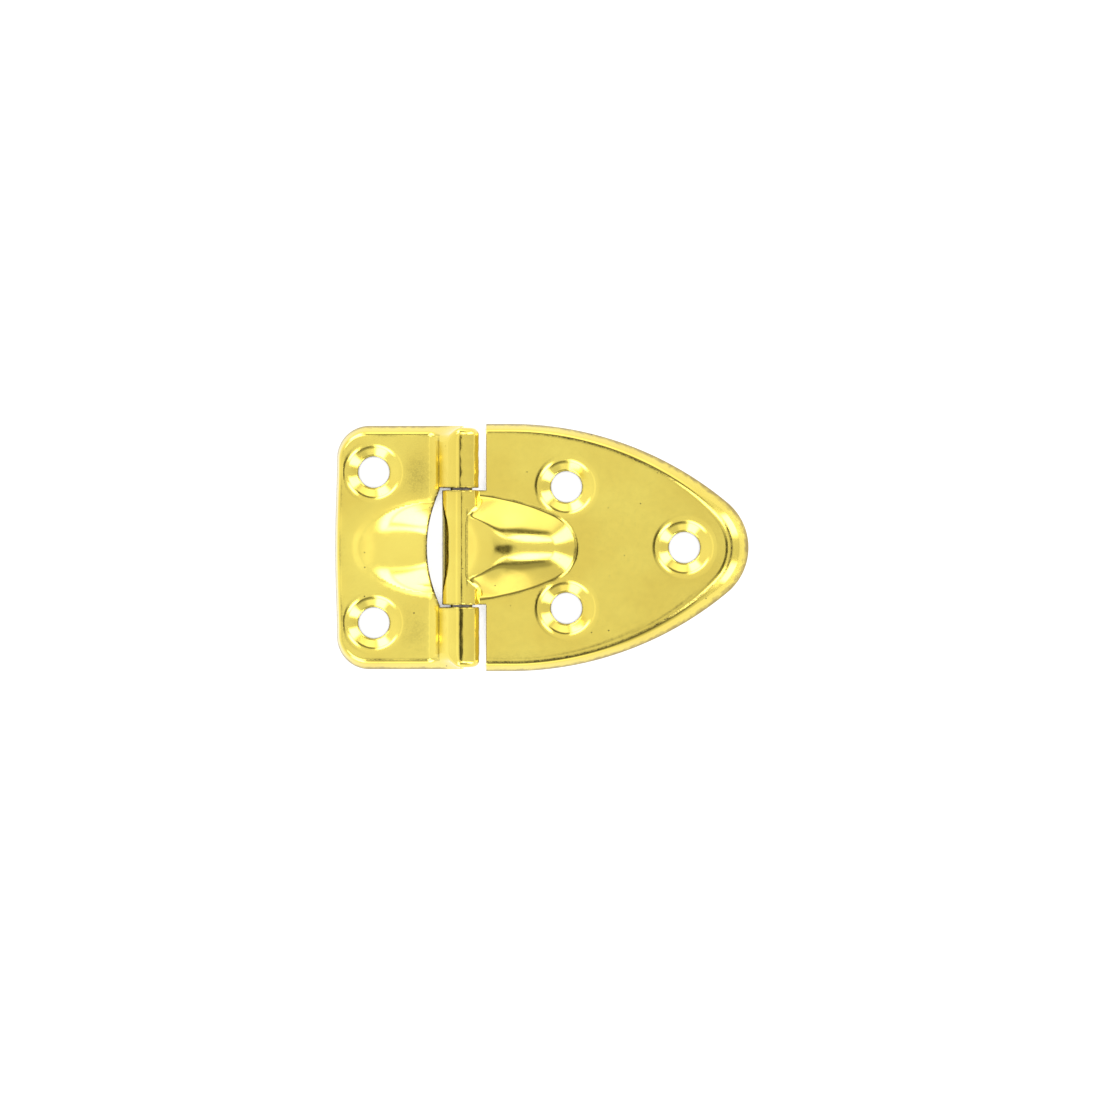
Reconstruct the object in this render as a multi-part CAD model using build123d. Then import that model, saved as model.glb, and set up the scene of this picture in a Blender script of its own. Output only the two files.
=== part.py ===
from build123d import *
from math import asin, atan, atan2, cos, degrees, pi, radians, sin, sqrt, tan
import os

# Lid stop hinge, pressed from plated steel sheet. It lies face up: the mounting plane is Z = 0,
# the pin runs along Y, the short leaf lies to -X and the long, pointed leaf to +X.

# The sheet, the pin and the level of the flat land of both leaves
SHEET = 1.2
PIN_R = 1.7
PIN_LENGTH = 34.0
PIN_CHAMFER = 0.3
LAND_Z = 2.4
AXIS_Z = 3.3

# The curled barrel: two outer knuckles on the short leaf, one between them on the long leaf
OUTER_BORE_R = PIN_R
MIDDLE_BORE_R = PIN_R + 0.08
ROOT_FILLET = 0.8
MIDDLE_HALF_WIDTH = 8.8
KNUCKLE_GAP = 0.35
OUTER_START = MIDDLE_HALF_WIDTH + KNUCKLE_GAP
BARREL_END = 18.4
LIP_BEVEL = SHEET + 0.2
LIP_HOLE_R = 0.9
CURL_END = 50.0

# The long leaf: a bullet shape with three screw holes and a turned-down rim, wider at the tip
LONG_HALF_WIDTH = 19.05
LONG_FLANK_X = 7.5
LONG_TIP_X = 44.2
LONG_TIP_R = 9.0
LONG_RIM_IN = 1.07
LONG_TIP_RIM_IN = 2.3
LONG_PAIR_X = 16.15
LONG_PAIR_SPACING = 18.7
LONG_TIP_HOLE_X = 34.3

# The short leaf: a rectangle with rounded corners, a bowed end and two screw holes
SHORT_END_X = -19.5
SHORT_BOW = 0.3
SHORT_HALF_WIDTH = 18.75
SHORT_CORNER_R = 5.0
SHORT_RIM_IN = 1.15
SHORT_END_RIM_IN = 0.5
SHORT_PAIR_X = -13.5
SHORT_PAIR_SPACING = 23.2

# The bend into the rim
RIM_BEND = 0.6

# The sunk seat round each screw hole
HOLE_R = 2.4
SEAT_FLAT_R = 2.9
SEAT_SHOULDER_R = 4.2
SEAT_EASE = 0.3

# The long leaf's dome: a bullet plan with sloping flanks under a roof that is an arc along X
DOME_HALF_WIDTH = 8.6
DOME_FLANK_X = 3.0
DOME_NOSE_X = 17.5
DOME_NOSE_R = 5.8
DOME_SLOPE = 43.0
DOME_TOP_X = 6.6
DOME_TOP_Z = AXIS_Z + 3.7
DOME_ROOF_R = 19.2
DOME_ROUND = 2.6
DOME_BASE_FILLET = 0.4

# The short leaf's half dome: it rises from its tip towards the barrel and ends at the notch
HALF_DOME_TIP_X = -15.6
HALF_DOME_BACK_X = -3.0
HALF_DOME_HALF_WIDTH = 7.9
HALF_DOME_RISE = 3.9
HALF_DOME_RISE_X = -5.23
HALF_DOME_CURVE = 1.25
HALF_DOME_OUTER_HEIGHTS = (0.0, 1.2, 2.4, 3.4, 4.4)
HALF_DOME_INNER_HEIGHTS = (0.1, 1.2, 2.4, 3.4, 4.4)
HALF_DOME_DROP = 1.3
HALF_DOME_SIDE_IN = 0.35

# The crescent notch between the outer knuckles, which the stop of the long leaf meets
NOTCH_DEPTH_X = -5.23
NOTCH_CORNER_X = -3.3
NOTCH_CORNER_Y = 8.9

# Room left over for cutting shapes
FAR = 60.0


def slab(low_x, high_x, low_y, high_y, low_z=-FAR, high_z=FAR):
    """A box given by its lowest and highest corner."""
    size = (high_x - low_x, high_y - low_y, high_z - low_z)
    middle = ((low_x + high_x) / 2, (low_y + high_y) / 2, (low_z + high_z) / 2)
    return Pos(*middle) * Box(*size)


def bullet(flank_x, half_width, tip_x, tip_r, back_x):
    """A flat bullet shape: parallel sides, then flank arcs tangent to the sides and to the tip arc."""
    reach = tip_x - tip_r - flank_x
    flank_r = (reach**2 + half_width**2 - tip_r**2) / (2 * (half_width - tip_r))
    turn = atan2(flank_r - half_width, reach)
    join_x = tip_x - tip_r + tip_r * cos(turn)
    join_y = tip_r * sin(turn)
    outline = [
        Line((back_x, half_width), (back_x, -half_width)),
        Line((back_x, -half_width), (flank_x, -half_width)),
        TangentArc((flank_x, -half_width), (join_x, -join_y), tangent=(1, 0)),
        ThreePointArc((join_x, -join_y), (tip_x, 0), (join_x, join_y)),
        TangentArc((flank_x, half_width), (join_x, join_y), tangent=(1, 0)),
        Line((flank_x, half_width), (back_x, half_width)),
    ]
    return make_face(outline)


def tablet(end_x, half_width, corner_r, back_x):
    """A flat rectangle with two rounded corners, joined by a slightly bowed end."""
    side_x = end_x + SHORT_BOW
    corner_x = side_x + corner_r
    corner_y = half_width - corner_r
    bend = corner_r * sin(pi / 4)
    outline = [
        Line((back_x, half_width), (corner_x, half_width)),
        ThreePointArc((corner_x, half_width), (corner_x - bend, corner_y + bend), (side_x, corner_y)),
        ThreePointArc((side_x, corner_y), (end_x, 0), (side_x, -corner_y)),
        ThreePointArc((side_x, -corner_y), (corner_x - bend, -corner_y - bend), (corner_x, -half_width)),
        Line((corner_x, -half_width), (back_x, -half_width)),
        Line((back_x, -half_width), (back_x, half_width)),
    ]
    return make_face(outline)


def long_outline(side_in, tip_in):
    """The long leaf's outline, drawn in by one amount at its sides and another at its tip."""
    tip_r = LONG_TIP_R - (side_in + tip_in) / 2
    return bullet(LONG_FLANK_X, LONG_HALF_WIDTH - side_in, LONG_TIP_X - tip_in, tip_r, 0)


def short_outline(side_in, end_in):
    """The short leaf's outline, drawn in by one amount at its sides and another at its end."""
    corner_r = SHORT_CORNER_R - (side_in + end_in) / 2
    return tablet(SHORT_END_X + end_in, SHORT_HALF_WIDTH - side_in, corner_r, 0)


def tray(outline, rim_in, end_rim_in, depth):
    """The turned-down tray form of a leaf, with its surface at a depth inside the outer surface."""
    side_slope = rim_in / LAND_Z
    end_slope = end_rim_in / LAND_Z
    side_inset = depth / cos(atan(side_slope))
    end_inset = depth / cos(atan(end_slope))
    low_z = -depth
    high_z = LAND_Z - depth
    low = outline(side_inset + side_slope * low_z, end_inset + end_slope * low_z)
    high = outline(side_inset + side_slope * high_z, end_inset + end_slope * high_z)
    return loft([Pos(0, 0, low_z) * low, Pos(0, 0, high_z) * high], ruled=True)


def rounded_tray(outline, rim_in, end_rim_in):
    """The outer tray form with the bend between land and rim rounded."""
    form = tray(outline, rim_in, end_rim_in, 0)
    land = form.faces().sort_by(Axis.Z)[-1]
    bends = [edge for edge in land.edges() if abs(edge.center().X) > 0.1]
    return fillet(bends, RIM_BEND)


def seat_cone(low_r, low_z, high_z, places):
    """Cones with the slope of the screw seats, one at each place."""
    slope = (SEAT_SHOULDER_R - SEAT_FLAT_R) / SHEET
    height = high_z - low_z
    cone = Cone(low_r, low_r + slope * height, height)
    return [Pos(x, y, (low_z + high_z) / 2) * cone for x, y in places]


def cut_seats(form, places):
    """Sinks the seats into an outer form and eases their shoulders."""
    cut = form - seat_cone(SEAT_FLAT_R, LAND_Z - SHEET, LAND_Z + SHEET, places)
    shoulders = [
        edge
        for edge in cut.edges().filter_by(GeomType.CIRCLE)
        if abs(edge.radius - SEAT_SHOULDER_R) < 0.01 and abs(edge.arc_center.Z - LAND_Z) < 0.01
    ]
    return chamfer(shoulders, SEAT_EASE)


def seat_bosses(places):
    """The undersides of the seats, which stand down into the cavity of the tray."""
    slope = (SEAT_SHOULDER_R - SEAT_FLAT_R) / SHEET
    offset = SHEET * sqrt(1 + slope**2)
    low_r = SEAT_FLAT_R + offset - SHEET * slope
    return seat_cone(low_r, 0, LAND_Z - SHEET + 0.2, places)


def screw_holes(places):
    """The screw holes through the flats of the seats."""
    return [Pos(x, y, 0) * Cylinder(HOLE_R, 4 * LAND_Z) for x, y in places]


def root_centre_x(bore_r):
    """How far from the pin's axis the land ends and the root fillet begins."""
    reach = bore_r + SHEET + ROOT_FILLET
    return sqrt(reach**2 - (AXIS_Z - LAND_Z - ROOT_FILLET) ** 2)


def root_lean(bore_r):
    """The angle past upright at which the root meets the roll, in degrees."""
    return degrees(asin((AXIS_Z - LAND_Z - ROOT_FILLET) / (bore_r + SHEET + ROOT_FILLET)))


def rolled_strip(bore_r, side, low_y, high_y):
    """The strip from the land up over the crown, and the curl from the crown round under the pin.

    side is -1 for the leaf to -X and +1 for the leaf to +X.
    """
    middle_r = bore_r + SHEET / 2
    lean = root_lean(bore_r)
    land_end = (side * root_centre_x(bore_r), LAND_Z - SHEET / 2)
    root = JernArc(land_end, (-side, 0), ROOT_FILLET + SHEET / 2, -side * (90 + lean))
    arch = JernArc(root @ 1, root % 1, middle_r, side * (90 + lean))
    curl = JernArc(arch @ 1, arch % 1, middle_r, side * (270 - CURL_END))
    solids = []
    for path in ([root, arch], [curl]):
        section = Plane.XZ.offset(-low_y) * trace(path, line_width=SHEET)
        solids.append(extrude(section, high_y - low_y, dir=(0, 1, 0)))
    return solids


def rolled_lip(centre_x, centre_z, surface_r, inward, start_angle, sweep):
    """The rim's flange where it follows a roll: bevelled over, then turned in across the end.

    surface_r is the radius of the plated surface, inward is -1 where the flange runs towards the
    centre of the roll and +1 where it runs away from it, and sweep is clockwise seen along +Y.
    """
    begin = BARREL_END - LIP_BEVEL
    inside = BARREL_END - SHEET
    back = begin - SHEET
    turn_r = surface_r + inward * LIP_BEVEL
    inside_r = surface_r + inward * SHEET
    rim_r = surface_r + inward * (PIN_R + SHEET - LIP_HOLE_R)
    shoulder = (begin + LIP_BEVEL * sin(pi / 4), turn_r - inward * LIP_BEVEL * sin(pi / 4))
    outline = [
        Line((back, surface_r), (begin, surface_r)),
        Line((begin, surface_r), shoulder),
        Line(shoulder, (BARREL_END, turn_r)),
        Line((BARREL_END, turn_r), (BARREL_END, rim_r)),
        Line((BARREL_END, rim_r), (inside, rim_r)),
        Line((inside, rim_r), (inside, inside_r)),
        Line((inside, inside_r), (back, inside_r)),
        Line((back, inside_r), (back, surface_r)),
    ]
    angle = radians(start_angle)
    section = Plane(
        origin=(centre_x, 0, centre_z), x_dir=(0, 1, 0), z_dir=(sin(angle), 0, -cos(angle))
    ) * make_face(outline)
    return revolve(section, Axis((centre_x, 0, centre_z), (0, 1, 0)), sweep)


def outer_knuckle():
    """One knuckle of the short leaf, at +Y: root, roll and the lip that keeps the pin in."""
    lean = root_lean(OUTER_BORE_R)
    root_x = root_centre_x(OUTER_BORE_R)
    strip = rolled_strip(OUTER_BORE_R, -1, OUTER_START, BARREL_END - LIP_BEVEL)
    roll_lip = rolled_lip(0, AXIS_Z, OUTER_BORE_R + SHEET, -1, 180 + lean, 360 - CURL_END + lean)
    root_lip = rolled_lip(-root_x, LAND_Z + ROOT_FILLET, ROOT_FILLET, 1, lean, 90 + lean)
    return strip + [roll_lip, root_lip]


def half_dome_contour(height, inset):
    """The half dome's contour at a height over the land, as half an ellipse open to the barrel."""
    across = HALF_DOME_RISE_X - HALF_DOME_TIP_X
    top = HALF_DOME_RISE * ((HALF_DOME_BACK_X - HALF_DOME_TIP_X) / across) ** (1 / HALF_DOME_CURVE)
    tip_x = HALF_DOME_TIP_X + across * (height / HALF_DOME_RISE) ** HALF_DOME_CURVE
    half_width = HALF_DOME_HALF_WIDTH * sqrt(1 - height / top) - inset
    back = (HALF_DOME_BACK_X, 0)
    arc = EllipticalCenterArc(back, HALF_DOME_BACK_X - tip_x, half_width, start_angle=90, arc_size=180)
    return make_face([arc, Line(arc @ 0, arc @ 1)])


def half_dome(heights, drop, inset):
    """A dome lofted through its contours, with each contour lowered and its sides drawn in."""
    contours = [Pos(0, 0, LAND_Z + height - drop) * half_dome_contour(height, inset) for height in heights]
    dome = loft(contours)
    foot = extrude(contours[0], SHEET, dir=(0, 0, -1))
    return [dome, foot]


def long_dome(depth):
    """The long leaf's dome form, with its surface at a depth inside the outer surface."""
    slope = tan(radians(DOME_SLOPE))
    inset = depth / sin(radians(DOME_SLOPE))
    foot_z = LAND_Z - SHEET
    spread = SHEET / slope - inset
    height = DOME_TOP_Z - LAND_Z + SHEET - depth
    back_x = -2 * height
    foot = bullet(DOME_FLANK_X, DOME_HALF_WIDTH + spread, DOME_NOSE_X + spread, DOME_NOSE_R + spread, back_x)
    cone = extrude(Pos(0, 0, foot_z) * foot, height, dir=(0, 0, 1), taper=90 - DOME_SLOPE)
    roof = Pos(DOME_TOP_X, 0, DOME_TOP_Z - DOME_ROOF_R) * Rot(X=90) * Cylinder(DOME_ROOF_R - depth, FAR)
    dome = (cone & roof) - slab(-FAR, 0, -FAR, FAR)
    for side in (-1, 1):
        beside = sorted((side * MIDDLE_HALF_WIDTH, side * FAR))
        dome -= slab(-FAR, root_centre_x(MIDDLE_BORE_R), *beside)
    return dome


def short_leaf():
    """The leaf with two screw seats, the half dome, the notch and the outer knuckles."""
    seats = [(SHORT_PAIR_X, side * SHORT_PAIR_SPACING / 2) for side in (-1, 1)]
    land_end = -root_centre_x(OUTER_BORE_R)
    form = rounded_tray(short_outline, SHORT_RIM_IN, SHORT_END_RIM_IN)
    form = cut_seats(form, seats) + half_dome(HALF_DOME_OUTER_HEIGHTS, 0, 0)
    cavity = tray(short_outline, SHORT_RIM_IN, SHORT_END_RIM_IN, SHEET) - seat_bosses(seats)
    cavity = cavity + half_dome(HALF_DOME_INNER_HEIGHTS, HALF_DOME_DROP, HALF_DOME_SIDE_IN)
    leaf = form - cavity - screw_holes(seats)
    leaf -= slab(land_end, FAR, OUTER_START, FAR)
    leaf -= slab(land_end, FAR, -FAR, -OUTER_START)
    leaf -= crescent()
    knuckle = outer_knuckle()
    opposite = [mirror(piece, about=Plane.XZ) for piece in knuckle]
    return leaf + knuckle + opposite


def crescent():
    """The cutting shape of the notch: a large disc, squared off at the edge beside the knuckles."""
    depth = NOTCH_CORNER_X - NOTCH_DEPTH_X
    radius = (NOTCH_CORNER_Y**2 + depth**2) / (2 * depth)
    disc = Pos(NOTCH_DEPTH_X + radius, 0, 0) * Cylinder(radius, FAR)
    band = slab(-FAR, FAR, -OUTER_START, OUTER_START)
    return (disc & band) + slab(NOTCH_CORNER_X, FAR, -OUTER_START, OUTER_START)


def domed_form(form):
    """Adds the rounded dome to the long leaf's outer form, with a fillet round its base."""
    dome = long_dome(0)
    creases = [
        edge
        for edge in dome.edges().filter_by(GeomType.BSPLINE)
        if edge.center().X > 0.5 and edge.center().Z > LAND_Z + SHEET
    ]
    domed = form + fillet(creases, DOME_ROUND)
    base = [
        edge
        for edge in domed.edges().filter_by(GeomType.CIRCLE)
        if abs(edge.arc_center.Z - LAND_Z) < 0.01 and edge.radius > DOME_NOSE_R - 0.1
        and abs(edge.center().Y) < DOME_HALF_WIDTH and edge.center().X < DOME_NOSE_X + 0.1
    ]
    return fillet(base, DOME_BASE_FILLET)


def long_leaf():
    """The pointed leaf with three screw seats, the dome and the middle knuckle."""
    seats = [(LONG_PAIR_X, side * LONG_PAIR_SPACING / 2) for side in (-1, 1)]
    seats.append((LONG_TIP_HOLE_X, 0))
    land_end = root_centre_x(MIDDLE_BORE_R)
    arch, curl = rolled_strip(MIDDLE_BORE_R, 1, -MIDDLE_HALF_WIDTH, MIDDLE_HALF_WIDTH)
    form = cut_seats(rounded_tray(long_outline, LONG_RIM_IN, LONG_TIP_RIM_IN), seats)
    form -= slab(-FAR, land_end, -FAR, FAR)
    form = domed_form(form + arch)
    cavity = tray(long_outline, LONG_RIM_IN, LONG_TIP_RIM_IN, SHEET) - slab(-FAR, land_end, -FAR, FAR)
    cavity = cavity - seat_bosses(seats) + long_dome(SHEET)
    pin_space = Pos(0, 0, AXIS_Z) * Rot(X=90) * Cylinder(MIDDLE_BORE_R, FAR)
    leaf = form - cavity - screw_holes(seats)
    return leaf + curl - pin_space


def hinge_pin():
    """The plain pin, chamfered at both ends, which the lips of the outer knuckles shut in."""
    pin = Cylinder(PIN_R, PIN_LENGTH)
    pin = chamfer(pin.edges().filter_by(GeomType.CIRCLE), PIN_CHAMFER)
    return Pos(0, 0, AXIS_Z) * Rot(X=90) * pin


os.makedirs("parts", exist_ok=True)
export_step(short_leaf(), "parts/short_leaf.step")
export_step(long_leaf(), "parts/long_leaf.step")
export_step(hinge_pin(), "parts/hinge_pin.step")
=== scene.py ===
from math import atan2, cos, pi, radians, sin, sqrt, tan

import bpy
import numpy as np
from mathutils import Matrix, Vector, kdtree
from mathutils.geometry import delaunay_2d_cdt


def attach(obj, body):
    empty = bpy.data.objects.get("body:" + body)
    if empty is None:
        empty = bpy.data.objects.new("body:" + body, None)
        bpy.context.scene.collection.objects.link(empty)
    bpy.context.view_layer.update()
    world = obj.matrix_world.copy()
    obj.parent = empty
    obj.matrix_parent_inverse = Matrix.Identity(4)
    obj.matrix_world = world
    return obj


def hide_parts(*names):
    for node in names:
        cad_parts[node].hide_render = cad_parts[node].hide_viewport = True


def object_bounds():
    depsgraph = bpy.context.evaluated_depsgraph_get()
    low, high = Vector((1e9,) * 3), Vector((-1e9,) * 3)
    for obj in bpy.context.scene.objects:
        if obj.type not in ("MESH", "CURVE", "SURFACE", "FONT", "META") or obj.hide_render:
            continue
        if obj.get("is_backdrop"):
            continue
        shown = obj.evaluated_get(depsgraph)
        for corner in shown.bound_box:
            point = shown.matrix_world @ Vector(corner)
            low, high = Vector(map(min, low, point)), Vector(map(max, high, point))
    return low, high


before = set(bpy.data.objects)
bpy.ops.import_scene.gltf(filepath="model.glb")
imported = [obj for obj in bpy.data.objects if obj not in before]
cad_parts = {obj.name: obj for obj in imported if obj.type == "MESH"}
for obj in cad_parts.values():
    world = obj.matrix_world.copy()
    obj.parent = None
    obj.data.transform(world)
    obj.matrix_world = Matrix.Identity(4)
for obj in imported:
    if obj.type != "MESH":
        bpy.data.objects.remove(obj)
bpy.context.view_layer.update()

bpy.ops.object.select_all(action="DESELECT")

# The hinge pin: a length of drawn steel rod with chamfered ends, pushed through the barrel. The
# turned-in ends of the outer knuckles shut it in, so it shows only in the gaps and their holes.
MM = 0.001
SHEET = 1.2
PIN_R = 1.7
PIN_LENGTH = 34.0
PIN_CHAMFER = 0.3
AXIS_Z = 3.3

bpy.ops.mesh.primitive_cylinder_add(
    vertices=96,
    radius=PIN_R * MM,
    depth=PIN_LENGTH * MM,
    location=(0, 0, AXIS_Z * MM),
    rotation=(pi / 2, 0, 0),
)
pin = bpy.context.object
pin.name = pin.data.name = "drawn_pin"
bpy.ops.object.transform_apply(location=True, rotation=True, scale=True)
bpy.ops.object.mode_set(mode="EDIT")
bpy.ops.mesh.select_mode(type="EDGE")
bpy.ops.mesh.select_all(action="DESELECT")
bpy.ops.object.mode_set(mode="OBJECT")
for edge in pin.data.edges:
    ends = [pin.data.vertices[i].co.y for i in edge.vertices]
    edge.select = abs(ends[0] - ends[1]) < 0.1 * MM
bpy.ops.object.mode_set(mode="EDIT")
bpy.ops.mesh.bevel(offset=PIN_CHAMFER * MM, segments=3, affect="EDGES")
bpy.ops.object.mode_set(mode="OBJECT")
bpy.ops.object.shade_smooth_by_angle(angle=radians(35))
pin.select_set(False)


def set_inputs(node, **values):
    """Sets a node's inputs by their names, with _ for a space."""
    for name, value in values.items():
        node.inputs[name.replace("_", " ")].default_value = value


def new_metal(name):
    """An empty metal material and its shader."""
    metal = bpy.data.materials.new(name)
    metal.use_nodes = True
    shader = metal.node_tree.nodes["Principled BSDF"]
    set_inputs(shader, Metallic=1.0)
    return metal, shader


def noise(tree, places, scale, detail, stretch=(1, 1, 1)):
    """A noise on the object's own coordinates, stretched along its axes."""
    mapping = tree.nodes.new("ShaderNodeMapping")
    set_inputs(mapping, Scale=stretch)
    tree.links.new(places, mapping.inputs["Vector"])
    texture = tree.nodes.new("ShaderNodeTexNoise")
    set_inputs(texture, Scale=scale, Detail=detail)
    tree.links.new(mapping.outputs["Vector"], texture.inputs["Vector"])
    return texture.outputs["Fac"]


def spread(tree, value, from_low, from_high, to_low, to_high):
    """Maps one range of a value onto another, and keeps it there."""
    node = tree.nodes.new("ShaderNodeMapRange")
    set_inputs(node, From_Min=from_low, From_Max=from_high, To_Min=to_low, To_Max=to_high)
    tree.links.new(value, node.inputs["Value"])
    return node.outputs["Result"]


def blend_colours(tree, share, first, second):
    """A mix of two colours, by the share that the second has."""
    node = tree.nodes.new("ShaderNodeMix")
    node.data_type = "RGBA"
    tree.links.new(share, node.inputs["Factor"])
    slots = [s for s in node.inputs if s.type == "RGBA"]
    tree.links.new(first, slots[0])
    tree.links.new(second, slots[1])
    return [s for s in node.outputs if s.type == "RGBA"][0]


def arithmetic(tree, operation, first, second):
    """One step of arithmetic on sockets or numbers."""
    node = tree.nodes.new("ShaderNodeMath")
    node.operation = operation
    for slot, value in zip(node.inputs, (first, second)):
        if isinstance(value, (int, float)):
            slot.default_value = value
        else:
            tree.links.new(value, slot)
    return node.outputs[0]


def new_marks_and_shade():
    """A node group of what rubbing, rolling and handling leave on a metal face, and of painted
    shade.

    It has slow drifts of tone, a fine grain, hairlines, small pits, painted shade near the ground,
    and the painted shade that each piece carries.
    """
    marks = bpy.data.node_groups.new("metal_marks_and_shade", "ShaderNodeTree")
    sockets = marks.interface
    for name, kind, value in (
        ("Face", "NodeSocketColor", (0.8, 0.8, 0.8, 1)),
        ("Deep", "NodeSocketColor", (0.7, 0.7, 0.7, 1)),
        ("Stain", "NodeSocketColor", (0.2, 0.2, 0.2, 1)),
        ("Soiled", "NodeSocketColor", (0.1, 0.1, 0.1, 1)),
        ("Soil", "NodeSocketFloat", 0.0),
        ("Pits", "NodeSocketFloat", 0.1),
        ("Grime Height", "NodeSocketFloat", 0.0004),
        ("Smooth", "NodeSocketFloat", 0.1),
        ("Dull", "NodeSocketFloat", 0.3),
        ("Grain", "NodeSocketFloat", 0.5),
    ):
        sockets.new_socket(name, in_out="INPUT", socket_type=kind).default_value = value
    sockets.new_socket("Color", in_out="OUTPUT", socket_type="NodeSocketColor")
    for name in ("Roughness", "Height"):
        sockets.new_socket(name, in_out="OUTPUT", socket_type="NodeSocketFloat")
    given = marks.nodes.new("NodeGroupInput").outputs
    result = marks.nodes.new("NodeGroupOutput").inputs
    places = marks.nodes.new("ShaderNodeTexCoord").outputs["Object"]
    link = marks.links.new

    def work(operation, first, second):
        """One step of arithmetic in the group."""
        return arithmetic(marks, operation, first, second)

    drift = noise(marks, places, 90, 3)
    grain = noise(marks, places, 5200, 3)
    peel = noise(marks, places, 1100, 2)
    hairlines = noise(marks, places, 700, 5, (0.05, 1.6, 1.6))
    cells = marks.nodes.new("ShaderNodeTexVoronoi")
    cells.voronoi_dimensions = "2D"
    set_inputs(cells, Scale=400)
    link(places, cells.inputs["Vector"])
    split = marks.nodes.new("ShaderNodeSeparateColor")
    link(cells.outputs["Color"], split.inputs["Color"])
    chosen = work("LESS_THAN", split.outputs["Red"], given["Pits"])
    size = spread(marks, split.outputs["Green"], 0, 1, 0.015, 0.06)
    near = work("SUBTRACT", 1.0, work("DIVIDE", cells.outputs["Distance"], size))
    pits = work("MULTIPLY", chosen, spread(marks, near, 0.0, 0.5, 0, 1))
    height = marks.nodes.new("ShaderNodeSeparateXYZ")
    link(places, height.inputs["Vector"])
    low = work("DIVIDE", height.outputs["Z"], given["Grime Height"])
    uneven = work("ADD", low, spread(marks, peel, 0.3, 0.7, -0.3, 0.3))
    # Painted shade: darker near the ground, at the rim's foot and under the barrel.
    ground_shade = spread(marks, uneven, 0.3, 1.1, 0.85, 0)
    tone = given["Face"]
    tones = ((drift, 0.35, 0.65, 1), (grain, 0.42, 0.75, 0.35), (hairlines, 0.6, 0.75, 0.3))
    for pattern, start, full, most in tones:
        share = spread(marks, pattern, start, full, 0, most)
        tone = blend_colours(marks, share, tone, given["Deep"])
    tone = blend_colours(marks, ground_shade, tone, given["Stain"])
    tone = blend_colours(marks, work("MULTIPLY", pits, 0.9), tone, given["Soiled"])
    # Painted shade and dark reflections that each piece carries, made uneven by two noises, darken
    # towards the colour that pits also take.
    painted_shade = work("MULTIPLY", given["Soil"], spread(marks, grain, 0.35, 0.6, 0.55, 1.25))
    painted_shade = work("MULTIPLY", painted_shade, spread(marks, peel, 0.35, 0.65, 0.75, 1.15))
    link(blend_colours(marks, painted_shade, tone, given["Soiled"]), result["Color"])
    worn = work("MULTIPLY", work("ADD", spread(marks, peel, 0.3, 0.7, 0, 1), grain), 0.5)
    worn = work("MAXIMUM", worn, work("MAXIMUM", pits, ground_shade))
    rough = marks.nodes.new("ShaderNodeMapRange")
    link(worn, rough.inputs["Value"])
    link(given["Smooth"], rough.inputs["To Min"])
    link(given["Dull"], rough.inputs["To Max"])
    link(rough.outputs["Result"], result["Roughness"])
    relief = work("ADD", work("MULTIPLY", grain, given["Grain"]), work("MULTIPLY", hairlines, 0.25))
    relief = work("ADD", relief, work("MULTIPLY", peel, 0.8))
    link(work("SUBTRACT", relief, work("MULTIPLY", pits, 2.0)), result["Height"])
    return marks


metal_marks_and_shade = new_marks_and_shade()


def mark_and_shade_metal(metal, shader, depth, **values):
    """Gives a metal its marks and its painted shade, with its own colours and amounts and its
    relief's depth in mm.
    """
    tree = metal.node_tree
    marks = tree.nodes.new("ShaderNodeGroup")
    marks.node_tree = metal_marks_and_shade
    # The painted shade and dark reflections, read from each piece's own attribute.
    painted_shade = tree.nodes.new("ShaderNodeAttribute")
    painted_shade.attribute_name = "painted_shade"
    tree.links.new(painted_shade.outputs["Fac"], marks.inputs["Soil"])
    set_inputs(marks, **values)
    relief = tree.nodes.new("ShaderNodeBump")
    set_inputs(relief, Distance=depth * MM)
    tree.links.new(marks.outputs["Height"], relief.inputs["Height"])
    tree.links.new(marks.outputs["Color"], shader.inputs["Base Color"])
    tree.links.new(marks.outputs["Roughness"], shader.inputs["Roughness"])
    tree.links.new(relief.outputs["Normal"], shader.inputs["Normal"])


drawn_steel, steel_shader = new_metal("drawn_steel")
mark_and_shade_metal(
    drawn_steel,
    steel_shader,
    0.004,
    Face=(0.3, 0.28, 0.25, 1),
    Deep=(0.2, 0.18, 0.15, 1),
    Stain=(0.16, 0.13, 0.1, 1),
    Soiled=(0.08, 0.06, 0.04, 1),
    Pits=0.1,
    Grime_Height=0.0004,
    Smooth=0.18,
    Dull=0.4,
    Grain=1.0,
)
pin.data.materials.append(drawn_steel)
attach(pin, "case_half")
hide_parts("hinge_pin")

# The long leaf: a pointed blank of plated steel, cut and pressed in one stroke. The press turns its
# rim down, sinks three screw seats and raises the dome. Its tongue is rolled into the middle
# knuckle. The sheet is drawn by formulas, because polished metal shows the least flat in a curve.
LAND_Z = 2.4
RIM_BEND = 0.6
CUT_EASE = 0.15
HOLE_R = 2.4
HOLE_POINTS = 80
WELD = 2e-5
ON_GROUND = 1e-3
CLEAR_Z = 9.0
SEAT_FLAT_R = 2.6
SEAT_SHOULDER_R = 4.2
SEAT_ROUND = 2.3
SEAT_RINGS = (
    *(2.42, 2.45, 2.5, 2.56, 2.65, 2.75, 2.85, 2.95, 3.05, 3.15, 3.3, 3.45),
    *(3.6, 3.72, 3.83, 3.93, 4.03, 4.13, 4.23, 4.33, 4.45, 4.6, 4.8, 5.1),
)
SEAT_FOOT = 0.35
SEAT_TURN = atan2(SHEET, SEAT_SHOULDER_R - SEAT_FLAT_R)
SEAT_LIP_R = SEAT_SHOULDER_R + SEAT_ROUND * tan(SEAT_TURN / 2)
ROOT_FILLET = 0.8
MIDDLE_HALF_WIDTH = 8.8
MIDDLE_STEP = 0.2
MIDDLE_BORE_R = 1.78
TONGUE_Z = AXIS_Z - 0.1
CURL_END = 50.0
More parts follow.
